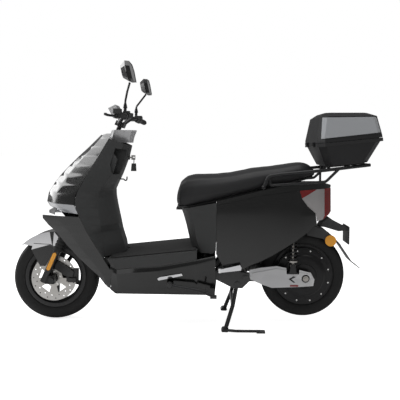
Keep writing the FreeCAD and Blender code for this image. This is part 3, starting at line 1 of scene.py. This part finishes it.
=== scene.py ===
"""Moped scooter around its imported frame: procedural finishes, padded seat, white floor and studio light."""
import bmesh
import bpy
import json
import math
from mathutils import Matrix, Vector


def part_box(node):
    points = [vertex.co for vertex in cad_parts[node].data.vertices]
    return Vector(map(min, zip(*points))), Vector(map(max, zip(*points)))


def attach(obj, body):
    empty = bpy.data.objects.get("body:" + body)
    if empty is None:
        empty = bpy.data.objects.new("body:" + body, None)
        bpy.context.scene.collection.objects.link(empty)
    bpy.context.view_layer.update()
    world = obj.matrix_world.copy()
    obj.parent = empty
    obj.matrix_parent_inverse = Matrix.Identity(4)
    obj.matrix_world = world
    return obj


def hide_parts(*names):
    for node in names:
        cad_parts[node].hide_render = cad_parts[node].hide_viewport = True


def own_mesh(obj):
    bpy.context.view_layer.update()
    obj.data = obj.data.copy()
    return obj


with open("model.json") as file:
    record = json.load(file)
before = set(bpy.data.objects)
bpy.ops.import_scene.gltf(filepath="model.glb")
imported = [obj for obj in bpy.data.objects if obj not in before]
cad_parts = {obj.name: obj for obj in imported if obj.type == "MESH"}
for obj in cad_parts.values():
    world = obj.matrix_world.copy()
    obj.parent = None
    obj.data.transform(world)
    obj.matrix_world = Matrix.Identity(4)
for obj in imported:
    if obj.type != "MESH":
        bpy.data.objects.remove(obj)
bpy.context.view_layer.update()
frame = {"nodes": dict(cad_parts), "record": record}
nodes = frame["nodes"]

# ---------------------------------------------------------------- camera and light
CAMERA_PLACE = (-0.105, 2.75, 0.9716)
CAMERA_ROLL = math.radians(-0.89)
LENS = 44.4
SHIFT = (-0.0375, -0.1375)
FLOOR_GLOW = 0.85           # what the floor shows of its own, so that only shadows fall below white
SKY = 0.2                  # the light that all but the camera gets from around

# ---------------------------------------------------------------- finishes
WORN = 0.5                  # how far an edge's colour goes towards its worn colour
CREASE = math.radians(38)   # faces that meet flatter than this are shaded as one surface
WELD = 1e-5

# colour, roughness, metal, coat, grain scale, grain depth, worn colour
FINISHES = {
    "black_gloss": ((.003, .0032, .003), .17, 0, .6, 900, .01, (.03, .03, .03)),
    "dark_plastic": ((.042, .043, .043), .5, 0, 0, 1400, .12, (.06, .06, .06)),
    "box_black": ((.012, .012, .013), .5, 0, 0, 700, .3, (.05, .05, .05)),
    "silver_window": ((.36, .37, .385), .14, 0, .5, 300, .02, (.35, .35, .35)),
    "silver_paint": ((.52, .52, .53), .3, .35, .2, 900, .03, (.7, .7, .7)),
    "chrome": ((.7, .7, .72), .12, 1, 0, 200, .01, (.85, .85, .85)),
    "black_steel": ((.012, .012, .013), .32, 0, .2, 500, .06, (.08, .08, .08)),
    "steel": ((.42, .4, .37), .33, 1, 0, 600, .04, (.6, .6, .6)),
    "alloy": ((.03, .03, .032), .35, .4, 0, 500, .05, (.2, .2, .2)),
    "black_alloy": ((.01, .01, .0105), .34, .2, .1, 500, .06, (.07, .07, .07)),
    "tyre": ((.013, .013, .013), .68, 0, 0, 420, .25, (.04, .04, .04)),
    "rubber": ((.02, .02, .02), .7, 0, 0, 600, .2, (.04, .04, .04)),
    "vinyl": ((.02, .02, .021), .47, 0, 0, 650, .5, (.03, .03, .03)),
    "lens": ((.35, .36, .38), .08, 0, .8, 100, 0, (.5, .5, .5)),
    "red_lens": ((.2, .005, .006), .14, 0, .7, 100, .01, (.3, .02, .02)),
    "smoke_lens": ((.42, .4, .4), .12, 0, .7, 100, .01, (.3, .3, .3)),
    "mirror": ((.01, .01, .011), .2, 0, .4, 300, .02, (.04, .04, .04)),
    "looking_glass": ((.8, .8, .82), .03, 1, 0, 100, 0, (.8, .8, .8)),
    "amber": ((.95, .36, .002), .25, 0, .5, 100, .03, (.9, .5, .1)),
    "bolt": ((.6, .59, .57), .24, 1, 0, 400, .02, (.8, .8, .8)),
    "display": ((.004, .005, .008), .06, 0, .8, 100, 0, (.01, .01, .01)),
}


def wear_group():
    """Node group: grain height, roughness that varies with it, and how worn an edge is."""
    group = bpy.data.node_groups.new("grain and wear", "ShaderNodeTree")
    ports = group.interface
    for name in ("Scale", "Roughness"):
        ports.new_socket(name, in_out="INPUT", socket_type="NodeSocketFloat")
    for name in ("Height", "Roughness", "Worn"):
        ports.new_socket(name, in_out="OUTPUT", socket_type="NodeSocketFloat")
    new, link = group.nodes.new, group.links.new
    inside, outside = new("NodeGroupInput"), new("NodeGroupOutput")
    place, geometry = new("ShaderNodeTexCoord"), new("ShaderNodeNewGeometry")
    fine, broad = new("ShaderNodeTexNoise"), new("ShaderNodeTexNoise")
    broad.inputs["Scale"].default_value = 7.0
    link(place.outputs["Object"], fine.inputs["Vector"])
    link(place.outputs["Object"], broad.inputs["Vector"])
    link(inside.outputs["Scale"], fine.inputs["Scale"])
    link(fine.outputs["Fac"], outside.inputs["Height"])
    vary = new("ShaderNodeMapRange")
    vary.inputs["To Min"].default_value = 0.8
    vary.inputs["To Max"].default_value = 1.2
    link(broad.outputs["Fac"], vary.inputs["Value"])
    rough = new("ShaderNodeMath")
    rough.operation = "MULTIPLY"
    link(vary.outputs["Result"], rough.inputs[0])
    link(inside.outputs["Roughness"], rough.inputs[1])
    link(rough.outputs["Value"], outside.inputs["Roughness"])
    edge = new("ShaderNodeMapRange")
    edge.inputs["From Min"].default_value = 0.54
    edge.inputs["From Max"].default_value = 0.66
    edge.inputs["To Max"].default_value = WORN
    link(geometry.outputs["Pointiness"], edge.inputs["Value"])
    link(edge.outputs["Result"], outside.inputs["Worn"])
    return group


WEAR = wear_group()


def finish(name):
    """Material of one name in FINISHES."""
    colour, rough, metal, coat, scale, depth, worn = FINISHES[name]
    made = bpy.data.materials.new(name)
    made.use_nodes = True
    new, link = made.node_tree.nodes.new, made.node_tree.links.new
    shader = made.node_tree.nodes["Principled BSDF"]
    shader.inputs["Metallic"].default_value = metal
    shader.inputs["Coat Weight"].default_value = coat
    shader.inputs["Coat Roughness"].default_value = 0.08
    shader.inputs["Specular IOR Level"].default_value = 0.35
    wear = new("ShaderNodeGroup")
    wear.node_tree = WEAR
    wear.inputs["Scale"].default_value = scale
    wear.inputs["Roughness"].default_value = rough
    mix = new("ShaderNodeMix")
    mix.data_type = "RGBA"
    mix.inputs["A"].default_value = (*colour, 1)
    mix.inputs["B"].default_value = (*worn, 1)
    link(wear.outputs["Worn"], mix.inputs["Factor"])
    link(mix.outputs["Result"], shader.inputs["Base Color"])
    link(wear.outputs["Roughness"], shader.inputs["Roughness"])
    if depth:
        bump = new("ShaderNodeBump")
        bump.inputs["Strength"].default_value = depth
        bump.inputs["Distance"].default_value = 0.0005
        link(wear.outputs["Height"], bump.inputs["Height"])
        link(bump.outputs["Normal"], shader.inputs["Normal"])
    return made


finishes = {name: finish(name) for name in FINISHES}


def dress(piece, name):
    """One finish for a whole piece."""
    piece.data.materials.clear()
    piece.data.materials.append(finishes[name])


def solids(piece):
    """The separate solids of a mesh, as (indexes of their faces, lowest corner, highest corner)."""
    mesh = bmesh.new()
    mesh.from_mesh(piece.data)
    corners = {}
    for vert in mesh.verts:
        corners.setdefault(tuple(round(c / WELD) for c in vert.co), []).append(vert.index)
    leader = {index: group[0] for group in corners.values() for index in group}
    root = {}

    def find(index):
        while root.setdefault(index, index) != index:
            index = root[index]
        return index

    for face in mesh.faces:
        first = find(leader[face.verts[0].index])
        for vert in face.verts[1:]:
            root[find(leader[vert.index])] = first
    groups = {}
    for face in mesh.faces:
        groups.setdefault(find(leader[face.verts[0].index]), []).append(face)
    found = []
    for faces in groups.values():
        spots = [vert.co for face in faces for vert in face.verts]
        low = Vector([min(spot[i] for spot in spots) for i in range(3)])
        high = Vector([max(spot[i] for spot in spots) for i in range(3)])
        found.append(([face.index for face in faces], low, high))
    mesh.free()
    return found


def dress_solids(node, name, wanted):
    """Another finish for the solids of a node whose size and corners answer to wanted(size, low, high)."""
    piece = nodes[node]
    piece.data.materials.append(finishes[name])
    index = len(piece.data.materials) - 1
    for faces, low, high in solids(piece):
        if wanted(high - low, low, high):
            for face in faces:
                piece.data.polygons[face].material_index = index


def shading_group():
    """Geometry nodes: welds a mesh and shades it as curved surfaces that meet at creases."""
    group = bpy.data.node_groups.new("smooth by angle", "GeometryNodeTree")
    group.interface.new_socket("Geometry", in_out="INPUT", socket_type="NodeSocketGeometry")
    group.interface.new_socket("Geometry", in_out="OUTPUT", socket_type="NodeSocketGeometry")
    new, link = group.nodes.new, group.links.new
    inside, outside = new("NodeGroupInput"), new("NodeGroupOutput")
    drop, weld = new("GeometryNodeRemoveAttribute"), new("GeometryNodeMergeByDistance")
    drop.inputs["Name"].default_value = "custom_normal"
    weld.inputs["Distance"].default_value = WELD
    curved, sharp = new("GeometryNodeSetShadeSmooth"), new("GeometryNodeSetShadeSmooth")
    sharp.domain = "EDGE"
    sharp.inputs["Shade Smooth"].default_value = False
    angle, steep = new("GeometryNodeInputMeshEdgeAngle"), new("FunctionNodeCompare")
    steep.operation = "GREATER_THAN"
    steep.inputs["B"].default_value = CREASE
    link(angle.outputs["Unsigned Angle"], steep.inputs["A"])
    link(steep.outputs["Result"], sharp.inputs["Selection"])
    link(inside.outputs["Geometry"], drop.inputs["Geometry"])
    link(drop.outputs["Geometry"], weld.inputs["Geometry"])
    link(weld.outputs["Geometry"], curved.inputs[0])
    link(curved.outputs[0], sharp.inputs[0])
    link(sharp.outputs[0], outside.inputs["Geometry"])
    return group


SHADING = shading_group()


def smooth(piece):
    """Shades a piece as curved surfaces, without touching its mesh."""
    shade = piece.modifiers.new("smooth by angle", "NODES")
    shade.node_group = SHADING
    normals = piece.modifiers.new("normals", "WEIGHTED_NORMAL")
    normals.keep_sharp = True


for part in frame["record"]["subparts"]:
    dress(nodes[part["node"]], part["material_slot"])
    smooth(nodes[part["node"]])

def dress_faces(node, name, wanted):
    """Another finish for the faces of a node whose centre and normal answer to wanted(centre, normal)."""
    piece = nodes[node]
    piece.data.materials.append(finishes[name])
    for face in piece.data.polygons:
        if wanted(face.center, face.normal):
            face.material_index = len(piece.data.materials) - 1


BOLT_SIZE = .02             # bolt heads are smaller than this, and covers and discs larger
ACCENT_LENGTH = .06         # inlays of the swing arm covers are shorter than this
GLASS_DEPTH = .03           # mirror glasses and the display are thinner than this, front to back
DISPLAY_HEIGHT = .05
REAR_REFLECTOR = .06        # width of the round reflectors
REFLECTOR_FOOT = (.28, .39)  # the side reflectors start between these heights, outside the fork legs
FORK_OUTSIDE = .1
LENS_FRONT = .75            # the headlight's lens lies ahead of this
FENDER_BAND = (.40, .455)   # bright band on the fender's sides, by height
FENDER_BAND_BACK = .74
FENDER_HALF = .05
FACES_SIDEWAYS = .6
LAMP_EDGE = .055            # red margin of the tail lamp, at its rear and along its top
LAMP_TOP_EDGE = .035

dress_solids(
    "front_fender", "amber",
    lambda size, low, high: REFLECTOR_FOOT[0] < low.z < REFLECTOR_FOOT[1] and abs(low.y) > FORK_OUTSIDE,
)
dress_solids(
    "rear_mudguard", "amber",
    lambda size, low, high: abs(size.x - REAR_REFLECTOR) < .004 and size.y < .01,
)
for bolted in ("front_disc", "motor_covers"):
    dress_solids(bolted, "bolt", lambda size, low, high: size.x < BOLT_SIZE)
dress_solids("arm_covers", "red_lens", lambda size, low, high: size.x < ACCENT_LENGTH)
dress_solids(
    "stem_cover", "display",
    lambda size, low, high: size.z < DISPLAY_HEIGHT and size.x < GLASS_DEPTH,
)
for side in ("left", "right"):
    dress_solids("mirror_" + side, "looking_glass", lambda size, low, high: size.x < GLASS_DEPTH)
dress_solids("headlight", "lens", lambda size, low, high: low.x > LENS_FRONT)

dress_faces(
    "front_fender", "chrome",
    lambda at, normal: at.x > FENDER_BAND_BACK and FENDER_BAND[0] < at.z < FENDER_BAND[1]
    and abs(normal.y) > FACES_SIDEWAYS and abs(at.y) > FENDER_HALF,
)
lamp_low, lamp_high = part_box("tail_lamp")
dress_faces(
    "tail_lamp", "smoke_lens",
    lambda at, normal: at.x > lamp_low.x + LAMP_EDGE and at.z < lamp_high.z - LAMP_TOP_EDGE,
)


# ---------------------------------------------------------------- seat cushion
SEAT_GRID = 0.006
SEAT_RIPPLE = 0.0006        # unevenness of the padding under its cover
SEAT_EDGE = 0.97            # beyond this share of the half width the cover is tight


def seat_cushion():
    """Padded seat: the frame's cushion rounded over, its top slightly uneven."""
    source = nodes["seat_cushion"]
    cushion = bpy.data.objects.new("seat_upholstery", source.data.copy())
    bpy.context.collection.objects.link(cushion)
    remesh = cushion.modifiers.new("remesh", "REMESH")
    remesh.mode = "VOXEL"
    remesh.voxel_size = SEAT_GRID
    ease = cushion.modifiers.new("ease", "SMOOTH")
    ease.factor = 0.5
    ease.iterations = 14
    shown = cushion.evaluated_get(bpy.context.evaluated_depsgraph_get())
    mesh = bpy.data.meshes.new_from_object(shown)
    cushion.modifiers.clear()
    cushion.data = mesh
    mesh.shade_smooth()
    low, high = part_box("seat_cushion")
    for vert in mesh.vertices:
        across = abs(vert.co.y) / high.y
        ripple = math.sin(vert.co.x * 61 + 5 * across) * math.sin(vert.co.x * 23 + 2 * vert.co.z)
        if across < SEAT_EDGE:
            vert.co.z += SEAT_RIPPLE * ripple
    dress(cushion, "vinyl")
    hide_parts("seat_cushion")
    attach(cushion, "seat")
    return cushion


seat_cushion()


def shock_coils():
    """Coils of the shock springs, copied from the frame and carried by the shock's upper half."""
    source = nodes["shock_springs"]
    coils = bpy.data.objects.new("shock_coils", source.data.copy())
    bpy.context.collection.objects.link(coils)
    smooth(coils)
    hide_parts("shock_springs")
    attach(coils, "shock_upper")
    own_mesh(coils)


shock_coils()


# ---------------------------------------------------------------- stage
def stage_floor():
    """White ground that shows shadows only."""
    made = bpy.data.materials.new("floor")
    made.use_nodes = True
    new, link = made.node_tree.nodes.new, made.node_tree.links.new
    shader = made.node_tree.nodes["Principled BSDF"]
    shader.inputs["Base Color"].default_value = (.9, .9, .9, 1)
    shader.inputs["Roughness"].default_value = 0.9
    shader.inputs["Emission Color"].default_value = (1, 1, 1, 1)
    path = new("ShaderNodeLightPath")
    glow = new("ShaderNodeMath")
    glow.operation = "MULTIPLY"
    glow.inputs[1].default_value = FLOOR_GLOW
    link(path.outputs["Is Camera Ray"], glow.inputs[0])
    link(glow.outputs["Value"], shader.inputs["Emission Strength"])
    bpy.ops.mesh.primitive_plane_add(size=60)
    floor = bpy.context.object
    floor.name = "studio_floor"
    floor.data.materials.append(made)


def area_light(name, place, target, power, width, height):
    data = bpy.data.lights.new(name, "AREA")
    data.shape = "RECTANGLE"
    data.energy = power
    data.size, data.size_y = width, height
    lamp = bpy.data.objects.new(name, data)
    lamp.location = place
    lamp.rotation_euler = (Vector(target) - Vector(place)).to_track_quat("-Z", "Y").to_euler()
    bpy.context.collection.objects.link(lamp)


def sky():
    """White to the camera and dimmer to everything else."""
    world = bpy.data.worlds.new("studio")
    world.use_nodes = True
    new, link = world.node_tree.nodes.new, world.node_tree.links.new
    background = world.node_tree.nodes["Background"]
    background.inputs["Color"].default_value = (1, 1, 1, 1)
    path, level = new("ShaderNodeLightPath"), new("ShaderNodeMapRange")
    level.inputs["To Min"].default_value = SKY
    level.inputs["To Max"].default_value = 1.0
    link(path.outputs["Is Camera Ray"], level.inputs["Value"])
    link(level.outputs["Result"], background.inputs["Strength"])
    bpy.context.scene.world = world


def camera():
    lens = bpy.data.cameras.new("camera")
    lens.lens = LENS
    lens.shift_x, lens.shift_y = SHIFT
    made = bpy.data.objects.new("camera", lens)
    made.location = CAMERA_PLACE
    made.rotation_euler = (math.radians(90), CAMERA_ROLL, math.radians(180))
    bpy.context.collection.objects.link(made)
    bpy.context.scene.camera = made


stage_floor()
area_light("overhead", (0, .6, 3.4), (0, 0, .6), 70, 4.5, 2.2)
area_light("side", (.9, 4.2, 2.3), (0, 0, .5), 12, 3.5, 1.2)
area_light("front", (3.2, -.9, 2.0), (.65, .1, .85), 80, 2.2, 2.6)
sky()
camera()
bpy.context.scene.view_settings.view_transform = "Standard"
